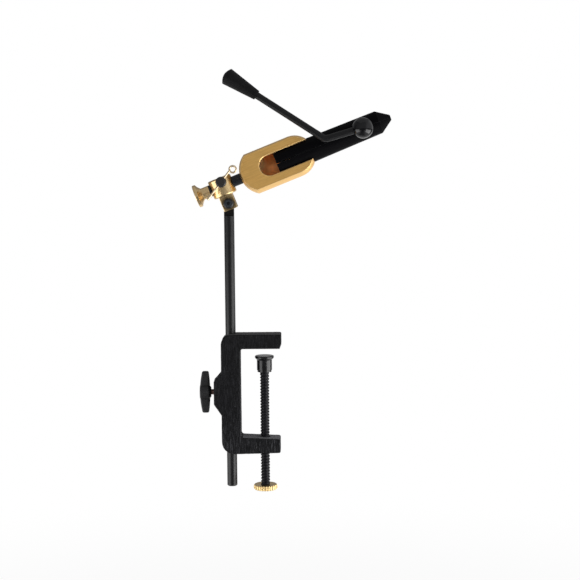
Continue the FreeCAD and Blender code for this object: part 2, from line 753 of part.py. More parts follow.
def upper_jaw():
    """Upper half of the split round bar, in the head's frame."""
    bar = turned([
        ((jaw_rear, 0),),
        ((jaw_rear, jaw_diameter / 2 - 0.5),),
        ((jaw_rear + 0.5, jaw_diameter / 2),),
        ((jaw_taper_start, jaw_diameter / 2),),
        ((jaw_shoulder, jaw_shoulder_diameter / 2),),
        ((jaw_tip, jaw_tip_diameter / 2),),
        ((jaw_tip, 0),),
    ])
    split = jaw_split / 2
    relief = (fulcrum_along - jaw_rear) * math.tan(math.radians(jaw_swing)) + split
    nose = jaw_tip - jaw_nose_length
    high = jaw_diameter
    side = Part.Face(Part.makePolygon([
        at(jaw_rear - 1, -high, high),
        at(jaw_rear - 1, -high, relief),
        at(jaw_rear, -high, relief),
        at(fulcrum_along, -high, split),
        at(nose, -high, split),
        at(nose, -high, jaw_nose_split / 2),
        at(jaw_tip + 1, -high, jaw_nose_split / 2),
        at(jaw_tip + 1, -high, high),
        at(jaw_rear - 1, -high, high),
    ])).extrude(at(0, 2 * high, 0))
    jaw = bar.common(side)
    jaw = jaw.cut(rod(fulcrum_diameter / 2 + running_clearance, at(fulcrum_along, fulcrum_near_end - free_clearance, 0),
                      at(fulcrum_along, high, 0)))
    jaw = jaw.cut(rod(spring_diameter / 2 + 0.2, at(spring_along, 0, 0), at(spring_along, 0, spring_length / 2)))
    room = 2 * running_clearance
    slot_side = cam_half_width + free_clearance
    jaw = jaw.cut(block(at(cam_along - cam_long_radius - free_clearance, -slot_side, -1),
                        at(cam_along + cam_long_radius + free_clearance, slot_side, cam_short_radius + room)))
    return jaw.cut(rod(cam_shaft_diameter / 2 + room, at(cam_along, -high, 0), at(cam_along, high, 0)))


def lower_jaw():
    return upper_jaw().mirror(at(0, 0, 0), at(0, 0, 1))


def jaw_spring():
    radius = (spring_diameter - spring_wire) / 2
    height = spring_length - spring_wire - 0.2
    helix = Part.makeHelix(height / spring_turns, height, radius)
    start = helix.Vertexes[0].Point
    circle = Part.Wire(Part.makeCircle(spring_wire / 2, start, at(0, 1, 0)))
    coil = Part.Wire(helix.Edges).makePipeShell([circle], True, True)
    coil.translate(at(spring_along, 0, -height / 2))
    return coil


def jaw_side():
    """Distance from the middle to the jaws' side at the cam."""
    share = (cam_along - jaw_taper_start) / (jaw_shoulder - jaw_taper_start)
    return jaw_diameter / 2 - share * (jaw_diameter - jaw_shoulder_diameter) / 2


def cam_shaft():
    side = jaw_side()
    near = -side - 0.3
    far = side + 0.3 + cam_collar_height
    end = ball_centre + rod_diameter / 2 + 2.4
    shaft = rod(cam_shaft_diameter / 2, at(cam_along, end, 0), at(cam_along, -cam_half_width, 0))
    shaft = shaft.fuse(rod(cam_shaft_diameter / 2, at(cam_along, cam_half_width, 0), at(cam_along, far, 0)))
    oval = Part.Face(Part.Wire(Part.Ellipse(at(0, 0, 0), cam_long_radius, cam_short_radius).toShape()))
    cam = oval.extrude(at(0, 0, 2 * cam_half_width))
    cam.rotate(at(0, 0, 0), at(1, 0, 0), 90)
    cam.translate(at(cam_along, cam_half_width, 0))
    shaft = shaft.fuse(cam)
    shaft = shaft.fuse(rod(near_collar_diameter / 2, at(cam_along, near - near_collar_height, 0),
                           at(cam_along, near, 0)))
    tapped = rod(cam_screw_diameter / 2, at(cam_along, far - 6.0, 0), at(cam_along, far + 1, 0))
    return shaft.cut(tapped).removeSplitter()


def cam_collar():
    start = jaw_side() + 0.3
    ring = turned([
        ((0, 0),),
        ((0, cam_collar_diameter / 2),),
        ((cam_collar_height - 1.0, cam_collar_diameter / 2),),
        ((cam_collar_height - 0.3, cam_collar_diameter / 2 - 0.3),
         (cam_collar_height, cam_collar_diameter / 2 - 1.0)),
        ((cam_collar_height, 0),),
    ], at(cam_along, start, 0), at(0, 1, 0))
    return ring.cut(rod(cam_shaft_diameter / 2, at(cam_along, 0, 0), at(cam_along, body_diameter, 0)))


def cam_end_screw():
    far = jaw_side() + 0.3 + cam_collar_height
    return socket_screw(cam_screw_diameter, 6.0, cam_screw_head_diameter, cam_screw_head_height,
                        at(cam_along, far - 6.0, 0), at(0, 1, 0), 2.4)


def lever_points():
    """Ball centre, bend corner and the direction of the long arm, in the head's frame."""
    ball = at(cam_along, ball_centre, 0)
    bend = ball.add(at(-rod_bend_back, 0, rod_bend_up))
    rise = math.radians(rod_rise)
    return ball, bend, at(-math.cos(rise), 0, math.sin(rise))


def lever_ball():
    ball, bend, rise = lever_points()
    shape = Part.makeSphere(ball_diameter / 2, ball)
    shape = shape.cut(rod(cam_shaft_diameter / 2, at(cam_along, ball_centre + rod_diameter / 2 + 2.4, 0),
                          at(cam_along, 0, 0)))
    return shape.cut(rod(rod_diameter / 2, ball, bend))


def lever_rod():
    ball, bend, rise = lever_points()
    first = FreeCAD.Vector(bend).sub(ball).normalize()
    turn = math.acos(first.dot(rise))
    cut_back = rod_bend_radius * math.tan(turn / 2)
    start = bend.sub(FreeCAD.Vector(first).multiply(cut_back))
    end = bend.add(FreeCAD.Vector(rise).multiply(cut_back))
    inward = FreeCAD.Vector(rise).sub(first).normalize()
    centre = bend.add(FreeCAD.Vector(inward).multiply(rod_bend_radius / math.cos(turn / 2)))
    middle = centre.sub(FreeCAD.Vector(inward).multiply(rod_bend_radius))
    tip = bend.add(FreeCAD.Vector(rise).multiply(grip_start + grip_rod_depth))
    path = Part.Wire([
        Part.LineSegment(ball, start).toShape(),
        Part.Arc(start, middle, end).toShape(),
        Part.LineSegment(end, tip).toShape(),
    ])
    circle = Part.Wire(Part.makeCircle(rod_diameter / 2, ball, first))
    return path.makePipeShell([circle], True, True)


def lever_grip():
    ball, bend, rise = lever_points()
    small = grip_small_diameter / 2
    large = grip_large_diameter / 2
    start = bend.add(FreeCAD.Vector(rise).multiply(grip_start))
    rim = large - grip_edge_radius
    dome_radius = (rim ** 2 + grip_dome ** 2) / (2 * grip_dome)
    dome_middle = grip_length + grip_dome - dome_radius + math.sqrt(dome_radius ** 2 - rim ** 2 / 4)
    grip = turned([
        ((0, 0),),
        ((0, small - grip_edge_radius),),
        ((grip_edge_radius, small),),
        ((grip_length - grip_edge_radius, large),),
        ((grip_length, rim),),
        ((dome_middle, rim / 2), (grip_length + grip_dome, 0)),
    ], start, rise)
    return grip.cut(rod(rod_diameter / 2, bend, start.add(FreeCAD.Vector(rise).multiply(grip_rod_depth))))


def placed(shape, place):
    shape.Placement = place.multiply(shape.Placement)
    return shape


os.makedirs("parts", exist_ok=True)

standing = [clamp_frame, stem, stem_tongue, tongue_screw, lock_shoe, wing_shank, wing_head,
            clamp_screw, clamp_pad, pad_clip, clamp_knob]
on_knuckle = [knuckle, pivot_bolt, pivot_nut, pivot_washers, tommy_shoe, tommy_screw, tommy_bar]
on_head = [head_shaft, tension_washer, thumb_nut, head_body, body_screw, fulcrum_pin, upper_jaw, lower_jaw,
           jaw_spring, cam_shaft, cam_collar, cam_end_screw, lever_ball, lever_rod, lever_grip]

for make in standing:
    make().exportStep("parts/" + make.__name__ + ".step")
for make in on_knuckle:
    placed(make(), knuckle_place).exportStep("parts/" + make.__name__ + ".step")
for make in on_head:
    placed(make(), head_place).exportStep("parts/" + make.__name__ + ".step")
print("jaw swing", round(jaw_swing, 3), "degrees over", lever_travel, "degrees of lever")
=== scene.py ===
import json
import math
from collections import namedtuple

import bmesh
import bpy
from mathutils import Matrix, Vector, noise


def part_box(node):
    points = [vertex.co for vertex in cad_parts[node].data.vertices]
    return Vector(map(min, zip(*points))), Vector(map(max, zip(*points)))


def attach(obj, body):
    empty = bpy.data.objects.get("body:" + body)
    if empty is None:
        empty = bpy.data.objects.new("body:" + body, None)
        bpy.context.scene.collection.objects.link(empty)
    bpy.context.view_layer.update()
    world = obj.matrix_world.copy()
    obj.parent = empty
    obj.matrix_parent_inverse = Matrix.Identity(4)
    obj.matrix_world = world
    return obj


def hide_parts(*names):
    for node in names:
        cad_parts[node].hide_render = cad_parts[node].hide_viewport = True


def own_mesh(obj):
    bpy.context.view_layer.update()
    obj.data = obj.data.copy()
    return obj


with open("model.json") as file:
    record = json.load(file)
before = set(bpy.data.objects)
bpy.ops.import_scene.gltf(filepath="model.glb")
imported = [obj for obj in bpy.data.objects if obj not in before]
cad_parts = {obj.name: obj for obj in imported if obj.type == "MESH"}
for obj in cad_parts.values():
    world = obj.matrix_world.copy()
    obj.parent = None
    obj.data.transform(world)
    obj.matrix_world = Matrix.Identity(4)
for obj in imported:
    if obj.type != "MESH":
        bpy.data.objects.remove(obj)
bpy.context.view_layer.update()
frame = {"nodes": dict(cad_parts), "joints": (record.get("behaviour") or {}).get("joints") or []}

# Looks of a clamp-on fly tying vise. Metres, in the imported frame: +Z up the stem, -Y towards the camera.
# Lengths in materials are in mm.
MM = 0.001
NODES = frame["nodes"]


def joint(name):
    return next(j for j in frame["joints"] if j["name"] == name)


def frame_at(point, z_axis):
    """A frame whose Z lies along an axis through a point."""
    z = Vector(z_axis).normalized()
    m = z.to_track_quat("Z", "Y").to_matrix().to_4x4()
    m.translation = Vector(point)
    return m


# The head's own axes, from its joints: X along the shaft, Y away from the lever, Z up the barrel
head_x = Vector(joint("head_spin")["axis"]).normalized()
head_y = -Vector(joint("lever_squeeze")["axis"]).normalized()
head_z = head_x.cross(head_y)
head_origin = Vector(joint("head_spin")["pos_m"])
stem_x = joint("stem_turn")["pos_m"][0]
wing_z = joint("wing_turn")["pos_m"][2]
screw_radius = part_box("clamp_screw")[1].x

UPRIGHT = Matrix.Identity(4)
ACROSS = frame_at((0, 0, wing_z), (1, 0, 0))
TO_FRONT = frame_at(joint("head_tilt")["pos_m"], (0, -1, 0))
STEM = frame_at((stem_x, 0, 0), (0, 0, 1))
BODY = frame_at(head_origin, head_x)
BARREL = frame_at(head_origin, head_z)
TOMMY_BAR = frame_at(head_origin, joint("bar_slide")["axis"])
CAM = frame_at(joint("lever_squeeze")["pos_m"], head_y)

# The brass body: the turn of its milled flat, the centre of its bore's ball end along the head, and the
# distances from the bore's middle line between which the bore's colour fades out
FLAT_TURN = math.radians(6.5)
BORE_END = 48.0
BORE_INSIDE = 12.3
BORE_OUTSIDE = 12.6

# The painted highlight patch on the bore's ball end: along the head, away from the camera and up
PAINTED_HIGHLIGHT_SPOT = frame_at(head_origin + (head_x * 40.5 + head_y * 7.5 + head_z * 5.5) * MM, head_x)
PAINTED_HIGHLIGHT_INSIDE = 3.5
PAINTED_HIGHLIGHT_OUTSIDE = 7.5

# The casting's pale streaks and dust grow from the first of these heights down to the second
STREAKS_FROM = -55.0
STREAKS_FULL = -92.0


# Shader nodes
def set_input(tree, node, socket, value):
    if isinstance(value, bpy.types.NodeSocket):
        tree.links.new(value, node.inputs[socket])
    else:
        node.inputs[socket].default_value = value


def add_node(tree, kind, settings=(), **inputs):
    """A shader node. An input goes by its name, with _ for a space, or by n and its number."""
    node = tree.nodes.new("ShaderNode" + kind)
    for key, value in dict(settings).items():
        setattr(node, key, value)
    for key, value in inputs.items():
        socket = int(key[1:]) if key[1:].isdigit() else key.replace("_", " ")
        set_input(tree, node, socket, value)
    return node


def maths(tree, operation, first, second):
    return add_node(tree, "Math", {"operation": operation}, n0=first, n1=second).outputs[0]


def ramp(tree, value, low, high, to_low=0.0, to_high=1.0, shape="SMOOTHSTEP"):
    """A value from low to high, turned into one from to_low to to_high and kept between them."""
    n = add_node(tree, "MapRange", {"interpolation_type": shape}, Value=value, From_Min=low, From_Max=high,
                 To_Min=to_low, To_Max=to_high)
    return n.outputs[0]


# Materials
class Surface:
    """A procedural material, placed by frames in a piece's own space."""

    def __init__(self, name, **sockets):
        self.mat = bpy.data.materials.new(name)
        self.mat.use_nodes = True
        self.tree = self.mat.node_tree
        self.tree.nodes.clear()
        out = self.node("OutputMaterial")
        self.shader = self.node("BsdfPrincipled", **sockets)
        self.tree.links.new(self.shader.outputs[0], out.inputs["Surface"])
        self.coordinates = self.node("TexCoord").outputs["Object"]
        self.normal = None

    def node(self, kind, settings=(), **inputs):
        return add_node(self.tree, kind, settings, **inputs)

    def product(self, first, second):
        return maths(self.tree, "MULTIPLY", first, second)

    def total(self, first, second):
        return maths(self.tree, "ADD", first, second)

    def remap(self, value, low, high, to_low=0.0, to_high=1.0):
        return ramp(self.tree, value, low, high, to_low, to_high, "LINEAR")

    def spread(self, pattern, to_low=0.0, to_high=1.0):
        """A noise's usual reach, turned into one between two numbers."""
        noise_low = 0.3
        noise_high = 0.7
        return self.remap(pattern, noise_low, noise_high, to_low, to_high)

    def vector(self, operation, first, second=None):
        n = self.node("VectorMath", {"operation": operation}, n0=first)
        if second is not None:
            set_input(self.tree, n, 1, second)
        return n.outputs["Value" if operation in ("LENGTH", "DOT_PRODUCT") else "Vector"]

    def mix(self, share, first, second):
        """The first colour where the share is 0, the second where it is 1."""
        m = self.node("Mix", {"data_type": "RGBA"}, Factor=share)
        colour_inputs = (6, 7)
        for socket, value in zip(colour_inputs, (first, second)):
            linked = isinstance(value, bpy.types.NodeSocket)
            set_input(self.tree, m, socket, value if linked else (*value, 1.0))
        return m.outputs[2]

    def place(self, at, sizes=(1.0, 1.0, 1.0)):
        """Coordinates in a frame, counted in units of the given lengths."""
        m = self.node("Mapping", {"vector_type": "TEXTURE"}, Vector=self.coordinates)
        m.inputs["Location"].default_value = at.translation
        m.inputs["Rotation"].default_value = at.to_euler()
        m.inputs["Scale"].default_value = [size * MM for size in sizes]
        return m.outputs[0]

    def noise(self, at, sizes, detail=3.0, rough=0.55, distort=0.0):
        n = self.node("TexNoise", Vector=self.place(at, sizes), Scale=1.0, Detail=detail, Roughness=rough,
                      Distortion=distort)
        return n.outputs[0]

    def spots(self, at, size):
        return self.node("TexVoronoi", Vector=self.place(at, [size] * 3), Scale=1.0).outputs["Distance"]

    def from_point(self, at):
        """Distance from a frame's origin."""
        return self.vector("LENGTH", self.place(at))

    def from_axis(self, at):
        """Distance from a frame's Z axis."""
        return self.vector("LENGTH", self.vector("MULTIPLY", self.place(at), (1.0, 1.0, 0.0)))

    def along_axis(self, at):
        """Distance along a frame's Z axis."""
        return self.node("SeparateXYZ", Vector=self.place(at)).outputs["Z"]

    def turned(self, distance, pitch):
        """Fine turning marks, one after another, along a distance."""
        n = self.node("TexNoise", {"noise_dimensions": "1D"}, W=distance, Scale=1.0 / pitch, Detail=2.0)
        return n.outputs[0]

    def worn(self, radius):
        """1 on sharp edges, 0 on flat ground."""
        flat_dot = 0.985
        sharp_dot = 0.80
        bevel = self.node("Bevel", {"samples": 4}, Radius=radius * MM)
        true = self.node("NewGeometry").outputs["Normal"]
        return self.remap(self.vector("DOT_PRODUCT", bevel.outputs[0], true), flat_dot, sharp_dot)

    def facing(self, direction):
        """1 where the surface faces a direction of the piece's own space, 0 where it stands square to it."""
        return self.vector("DOT_PRODUCT", self.node("TexCoord").outputs["Normal"], direction)

    def bump(self, height, depth):
        b = self.node("Bump", Distance=depth * MM, Strength=1.0, Height=height)
        if self.normal is not None:
            set_input(self.tree, b, "Normal", self.normal)
        self.normal = b.outputs[0]

    def done(self, colour, rough):
        set_input(self.tree, self.shader, "Base Color", colour)
        set_input(self.tree, self.shader, "Roughness", rough)
        set_input(self.tree, self.shader, "Normal", self.normal)
        return self.mat


def times(tone, factor):
    return tuple(min(1.0, factor * c) for c in tone)


def cast_paint():
    """Black paint on a casting: drawn streaks, pits and small chips that show lighter, and dusty tops."""
    s = Surface("cast_paint", Specular_IOR_Level=0.14)
    deep = (0.0018, 0.0018, 0.0023)
    plain = (0.0060, 0.0060, 0.0072)
    drawn = (0.0150, 0.0150, 0.0170)
    scratched = (0.066, 0.066, 0.072)
    chipped = (0.11, 0.11, 0.115)
    rubbed = (0.045, 0.045, 0.048)
    upper_dust = (0.050, 0.050, 0.052)
    lower_dust = (0.240, 0.240, 0.250)
    streak = s.noise(UPRIGHT, (0.8, 2.0, 9), 4, 0.6)
    fine_streak = s.noise(UPRIGHT, (0.55, 1.2, 7), 3, 0.55)
    grain = s.noise(UPRIGHT, (0.55, 0.55, 0.7), 4, 0.65)
    mottle = s.noise(UPRIGHT, (2.4, 2.4, 3.0), 4, 0.6)
    low_down = s.remap(s.along_axis(UPRIGHT), STREAKS_FROM, STREAKS_FULL, 0.25, 1.0)
    upward = s.facing((0.0, 0.0, 1.0))
    base = s.mix(s.remap(mottle, 0.40, 0.66), deep, plain)
    base = s.mix(s.remap(streak, 0.50, 0.68, 0.0, 0.8), base, drawn)
    base = s.mix(s.product(s.remap(fine_streak, 0.54, 0.70), low_down), base, scratched)
    chip = s.product(s.remap(s.spots(UPRIGHT, 7.0), 0.075, 0.045), s.remap(grain, 0.44, 0.56))
    base = s.mix(chip, base, chipped)
    base = s.mix(s.product(s.worn(0.9), s.remap(grain, 0.38, 0.62, 0.25, 0.9)), base, rubbed)
    top = s.product(s.remap(upward, 0.85, 0.98), s.remap(grain, 0.35, 0.60, 0.45, 1.0))
    base = s.mix(top, base, s.mix(low_down, upper_dust, lower_dust))
    s.bump(streak, 0.13)
    s.bump(mottle, 0.10)
    s.bump(grain, 0.07)
    return s.done(base, s.total(s.spread(mottle, 0.56, 0.68), s.remap(upward, 0.5, 0.95, 0.0, 0.28)))


def black_steel(name, at, grain, tone, rough, specular, depth=0.004, worn=0.05):
    """Blackened steel with marks along or round its frame's Z, and paler edges."""
    s = Surface(name, Specular_IOR_Level=specular)
    rubbed = (worn, worn, 1.06 * worn)
    line = s.noise(at, grain, 4, 0.6)
    cloud = s.noise(at, (5, 5, 9), 3)
    base = s.mix(s.spread(line), tone, times(tone, 2.0))
    base = s.mix(s.product(s.worn(0.5), s.remap(line, 0.35, 0.6, 0.1, 0.7)), base, rubbed)
    s.bump(line, depth)
    s.bump(cloud, 0.03)
    return s.done(base, s.total(s.spread(cloud, *rough), s.spread(line, -0.03, 0.05)))


def spindle_black(crest):
    """The screw's black finish, paler on the crests of its thread: partly rubbed wear, partly a painted
    highlight.
    """
    s = Surface("black_screw", Specular_IOR_Level=0.16)
    root_tone = (0.0035, 0.0035, 0.0045)
    crest_wear_and_highlight = (0.011, 0.011, 0.014)
    crest_highlight_from = 0.75
    crest_highlight_full = 0.05
    grain = s.noise(UPRIGHT, (0.5, 0.5, 0.9), 4, 0.6)
    cloud = s.noise(UPRIGHT, (3, 3, 6), 3)
    # Painted highlight on the thread's crests, partly rubbed wear too: the crests are paler than the roots.
    height = s.remap(s.from_axis(UPRIGHT), crest - crest_highlight_from, crest - crest_highlight_full)
    base = s.mix(s.product(height, s.remap(grain, 0.3, 0.6, 0.45, 1.0)), root_tone, crest_wear_and_highlight)
    s.bump(grain, 0.04)
    return s.done(base, s.spread(cloud, 0.30, 0.44))


def bolt_black():
    """Screw heads seen from the front: a painted paler blue-grey reflection on the face inside a dark
    chamfer.
    """
    s = Surface("black_bolts", Specular_IOR_Level=0.45)
    dark = (0.0045, 0.0040, 0.0040)
    face_sheen = (0.022, 0.029, 0.037)
    rubbed = (0.045, 0.045, 0.048)
    face_inside = 2.9
    face_outside = 3.5
    line = s.noise(TO_FRONT, (0.5, 0.5, 3.0), 4, 0.6)
    from_centre = s.from_axis(TO_FRONT)
    # Painted reflection: a paler blue-grey sheen on the head's face, inside the dark chamfer.
    sheen_patch = s.product(s.remap(from_centre, face_outside, face_inside), s.remap(line, 0.3, 0.65, 0.6, 1.0))
    base = s.mix(sheen_patch, dark, face_sheen)
    base = s.mix(s.product(s.worn(0.4), 0.35), base, rubbed)
    s.bump(line, 0.006)
    s.bump(s.turned(from_centre, 0.3), 0.008)
    return s.done(base, s.spread(line, 0.34, 0.46))


def brass(name, at, grain, tone, darker, rough, turned=None, edge=0.5, painted_shade_round=None):
    """Brass with fine lines along its frame's Z, stains, and paler rubbed edges.

    It may have turning marks along that Z or away from it, and painted shade round another frame's Z.
    """
    s = Surface(name, Metallic=1.0)
    painted_shade_inside = 5.6
    painted_shade_outside = 8.6
    line = s.noise(at, grain, 5, 0.62)
    cloud = s.noise(at, (7, 7, 11), 3)
    stain = s.noise(at, (2.2, 2.2, 2.6), 5, 0.6, 0.3)
    base = s.mix(s.spread(line), darker, tone)
    base = s.mix(s.remap(stain, 0.56, 0.76, 0.0, 0.45), base, times(darker, 0.62))
    if painted_shade_round is not None:
        # Painted shade: the brass is darkened round the bolt, where the shade of its head falls.
        round_bolt = s.remap(s.from_axis(painted_shade_round), painted_shade_outside, painted_shade_inside)
        painted_shade = s.product(round_bolt, s.remap(stain, 0.25, 0.55, 0.45, 0.95))
        base = s.mix(painted_shade, base, times(darker, 0.35))
    base = s.mix(s.product(s.worn(0.5), edge), base, times(tone, 1.25))
    s.bump(line, 0.006)
    if turned is not None:
        s.bump(s.turned(turned(s, at), 0.35), 0.008)
    return s.done(base, s.total(s.spread(cloud, *rough), s.spread(line, -0.04, 0.06)))


def body_brass():
    """Satin brass brushed along the body, with a painted paler reflection on its round sides, pale edges
    that are partly wear and partly painted highlight, and an orange bore with a painted highlight patch in
    its ball end.
    """
    s = Surface("brass_body")
    brushed_dark = (0.77, 0.455, 0.135)
    brushed_light = (0.95, 0.590, 0.195)
    band = (0.66, 0.37, 0.10)
    flecked = (0.95, 0.68, 0.32)
    painted_round_sheen = (1.0, 0.71, 0.34)
    rubbed = (0.98, 0.84, 0.56)
    bore_orange = (1.0, 0.50, 0.175)
    painted_highlight = (1.0, 0.80, 0.44)
    on_flat = 0.990
    off_flat = 0.960
    brushed = s.noise(BODY, (0.40, 0.40, 14), 5, 0.62)
    broad = s.noise(BODY, (1.6, 1.6, 26), 3, 0.5)
    cloud = s.noise(BODY, (7, 7, 12), 3)
    fleck = s.noise(BODY, (0.7, 0.7, 1.6), 4, 0.6)
    base = s.mix(s.remap(brushed, 0.32, 0.68), brushed_dark, brushed_light)
    base = s.mix(s.remap(broad, 0.50, 0.72, 0.0, 0.35), base, band)
    base = s.mix(s.remap(fleck, 0.60, 0.78, 0.0, 0.30), base, flecked)
    # Painted reflection: away from the milled flat, the round sides are painted paler, as if they mirrored
    # the bright floor.
    milled = s.facing(head_z * math.sin(FLAT_TURN) - head_y * math.cos(FLAT_TURN))
    base = s.mix(s.remap(milled, on_flat, off_flat, 0.0, 0.55), base, painted_round_sheen)
    # The pale rubbed edges are partly wear and partly a painted highlight, as if the edges caught the light.
    base = s.mix(s.product(s.worn(0.7), 0.85), base, rubbed)
    # Distance from the bore's middle line, which starts in its ball end. Beyond that start, only the way
    # across counts
    no_limit = 100.0
    from_end = s.vector("SUBTRACT", s.place(BODY), (0.0, 0.0, BORE_END))
    from_line = s.vector("LENGTH", s.vector("MINIMUM", from_end, (no_limit, no_limit, 0.0)))
    bore = s.remap(from_line, BORE_OUTSIDE, BORE_INSIDE)
    # Painted highlight: a pale cream patch on the upper part of the bore's ball end, where light comes in
    # through the window. The rest of the bore is a less metallic orange.
    highlight_patch = s.remap(s.from_point(PAINTED_HIGHLIGHT_SPOT), PAINTED_HIGHLIGHT_OUTSIDE, PAINTED_HIGHLIGHT_INSIDE)
    base = s.mix(bore, base, s.mix(highlight_patch, bore_orange, painted_highlight))
    set_input(s.tree, s.shader, "Metallic", s.remap(bore, 0.0, 1.0, 1.0, 0.30))
    s.bump(brushed, 0.014)
    s.bump(cloud, 0.04)
    return s.done(base, s.total(s.spread(cloud, 0.42, 0.50), s.spread(brushed, -0.05, 0.06)))


def gloss_black():
    """Polished black with faint dimples, smears and dust."""
    s = Surface("gloss_black", Specular_IOR_Level=0.34)
    deep = (0.0022, 0.0022, 0.0030)
    smeared = (0.0048, 0.0048, 0.0060)
    dusty = (0.03, 0.03, 0.034)
    dimple = s.noise(UPRIGHT, (1.6, 1.6, 1.6), 2, 0.5)
    smear = s.noise(UPRIGHT, (7, 7, 4), 3, 0.6, 0.4)
    base = s.mix(s.remap(smear, 0.4, 0.7), deep, smeared)
    base = s.mix(s.remap(s.spots(UPRIGHT, 1.3), 0.05, 0.0, 0.0, 0.4), base, dusty)
    s.bump(dimple, 0.004)
    return s.done(base, s.spread(smear, 0.09, 0.17))


def grip_rubber():
    """Dull moulded rubber."""
    s = Surface("grip_rubber", Specular_IOR_Level=0.16)
    deep = (0.0024, 0.0024, 0.0028)
    plain = (0.0050, 0.0050, 0.0058)
    rubbed = (0.030, 0.030, 0.032)
    grain = s.noise(UPRIGHT, (0.35, 0.35, 0.35), 4, 0.6)
    cloud = s.noise(UPRIGHT, (4, 4, 4), 3)
    base = s.mix(s.remap(cloud, 0.35, 0.65), deep, plain)
    base = s.mix(s.product(s.worn(0.7), 0.5), base, rubbed)
    s.bump(grain, 0.03)
    s.bump(cloud, 0.10)
    return s.done(base, s.spread(grain, 0.50, 0.68))


def bare_metal(name, at, tone, darker, rough):
    """Metal left bare, cloudy and lightly scratched along its frame's Z."""
    s = Surface(name, Metallic=1.0)
    line = s.noise(at, (0.25, 0.25, 6), 4, 0.6)
    cloud = s.noise(at, (1.8, 1.8, 2.4), 3)
    base = s.mix(s.remap(cloud, 0.38, 0.62), darker, tone)
    s.bump(line, 0.004)
    return s.done(base, s.total(s.spread(cloud, *rough), s.spread(line, -0.04, 0.05)))


satin = body_brass()
knuckle_brass = brass("brass_knuckle", BARREL, grain=(0.3, 0.3, 5), tone=(0.82, 0.63, 0.34),
                      darker=(0.52, 0.36, 0.17), rough=(0.24, 0.34), turned=Surface.along_axis, edge=0.8,
                      painted_shade_round=TO_FRONT)
nut_brass = brass("brass_nut", BODY, grain=(0.3, 0.3, 4), tone=(0.92, 0.68, 0.37), darker=(0.60, 0.41, 0.19),
                  rough=(0.26, 0.36), turned=Surface.from_axis)
knob_brass = brass("brass_knob", UPRIGHT, grain=(0.3, 0.3, 3), tone=(0.72, 0.55, 0.29),
                   darker=(0.44, 0.30, 0.12), rough=(0.30, 0.40), turned=Surface.from_axis, edge=0.4)
bar_brass = brass("brass_bar", TOMMY_BAR, grain=(0.25, 0.25, 3), tone=(0.98, 0.82, 0.58),
                  darker=(0.62, 0.48, 0.31), rough=(0.28, 0.40))
shoe_brass = brass("brass_shoe", UPRIGHT, grain=(0.3, 0.3, 3), tone=(0.82, 0.60, 0.30),
                   darker=(0.66, 0.44, 0.20), rough=(0.30, 0.42))
paint = cast_paint()
bolts = bolt_black()
gloss = gloss_black()
rubber = grip_rubber()
spindle = spindle_black(screw_radius / MM)
stem_black = black_steel("black_stem", STEM, grain=(0.30, 0.30, 22), tone=(0.0040, 0.0040, 0.0044),
                         rough=(0.30, 0.38), specular=0.31)
tongue_black = black_steel("black_tongue", UPRIGHT, grain=(1.2, 1.2, 0.8), tone=(0.0030, 0.0028, 0.0026),
                           rough=(0.48, 0.60), specular=0.15)
tommy_black = black_steel("black_tommy_screw", BARREL, grain=(0.5, 0.5, 3), tone=(0.0110, 0.0098, 0.0092),
                          rough=(0.34, 0.46), specular=0.50)
shaft_black = black_steel("black_shaft", BODY, grain=(0.3, 0.3, 5), tone=(0.0050, 0.0062, 0.0085),
                          rough=(0.32, 0.44), specular=0.30)
# The jaws' pale worn edges are partly wear and partly a painted highlight along their split line.
jaw_black = black_steel("black_jaws", BODY, grain=(0.4, 0.4, 14), tone=(0.0016, 0.0015, 0.0020),
                        rough=(0.46, 0.58), specular=0.04, depth=0.006, worn=0.045)
rod_black = black_steel("black_rod", CAM, grain=(0.5, 0.5, 0.5), tone=(0.0040, 0.0040, 0.0046),
                        rough=(0.36, 0.46), specular=0.24)
pad_black = black_steel("black_pad", UPRIGHT, grain=(0.3, 0.3, 8), tone=(0.0034, 0.0034, 0.0038),
                        rough=(0.20, 0.28), specular=0.42, depth=0.003)
wing_black = black_steel("black_wing", ACROSS, grain=(1.4, 1.4, 1.8), tone=(0.0060, 0.0060, 0.0066),
                         rough=(0.44, 0.56), specular=0.36, depth=0.04)
copper = bare_metal("copper_screw", ACROSS, tone=(0.50, 0.36, 0.32), darker=(0.24, 0.17, 0.155),
                    rough=(0.30, 0.42))
steel = bare_metal("bright_steel", UPRIGHT, tone=(0.62, 0.61, 0.59), darker=(0.45, 0.44, 0.42),
                   rough=(0.22, 0.34))

finish_of = {
    "clamp_frame": paint,
    "clamp_screw": spindle,
    "clamp_knob": knob_brass,
    "clamp_pad": pad_black,
    "pad_clip": steel,
    "wing_head": wing_black,
    "wing_shank": copper,
    "lock_shoe": shoe_brass,
    "stem": stem_black,
    "tongue_screw": bolts,
    "stem_tongue": tongue_black,
    "knuckle": knuckle_brass,
    "pivot_bolt": bolts,
    "pivot_nut": bolts,
    "pivot_washers": steel,
    "head_shaft": shaft_black,
    "tension_washer": shaft_black,
    "thumb_nut": nut_brass,
    "tommy_screw": tommy_black,
    "tommy_shoe": shoe_brass,
    "tommy_bar": bar_brass,
    "head_body": satin,
    "body_screw": tommy_black,
    "fulcrum_pin": tommy_black,
    "upper_jaw": jaw_black,
    "lower_jaw": jaw_black,
    "jaw_spring": shaft_black,
    "cam_shaft": shaft_black,
    "cam_collar": shaft_black,
    "cam_end_screw": tommy_black,
    "lever_ball": gloss,
    "lever_rod": rod_black,
    "lever_grip": rubber,
}
for node_name, finish in finish_of.items():
    ob = NODES[node_name]
    ob.data.materials.clear()
    ob.data.materials.append(finish)


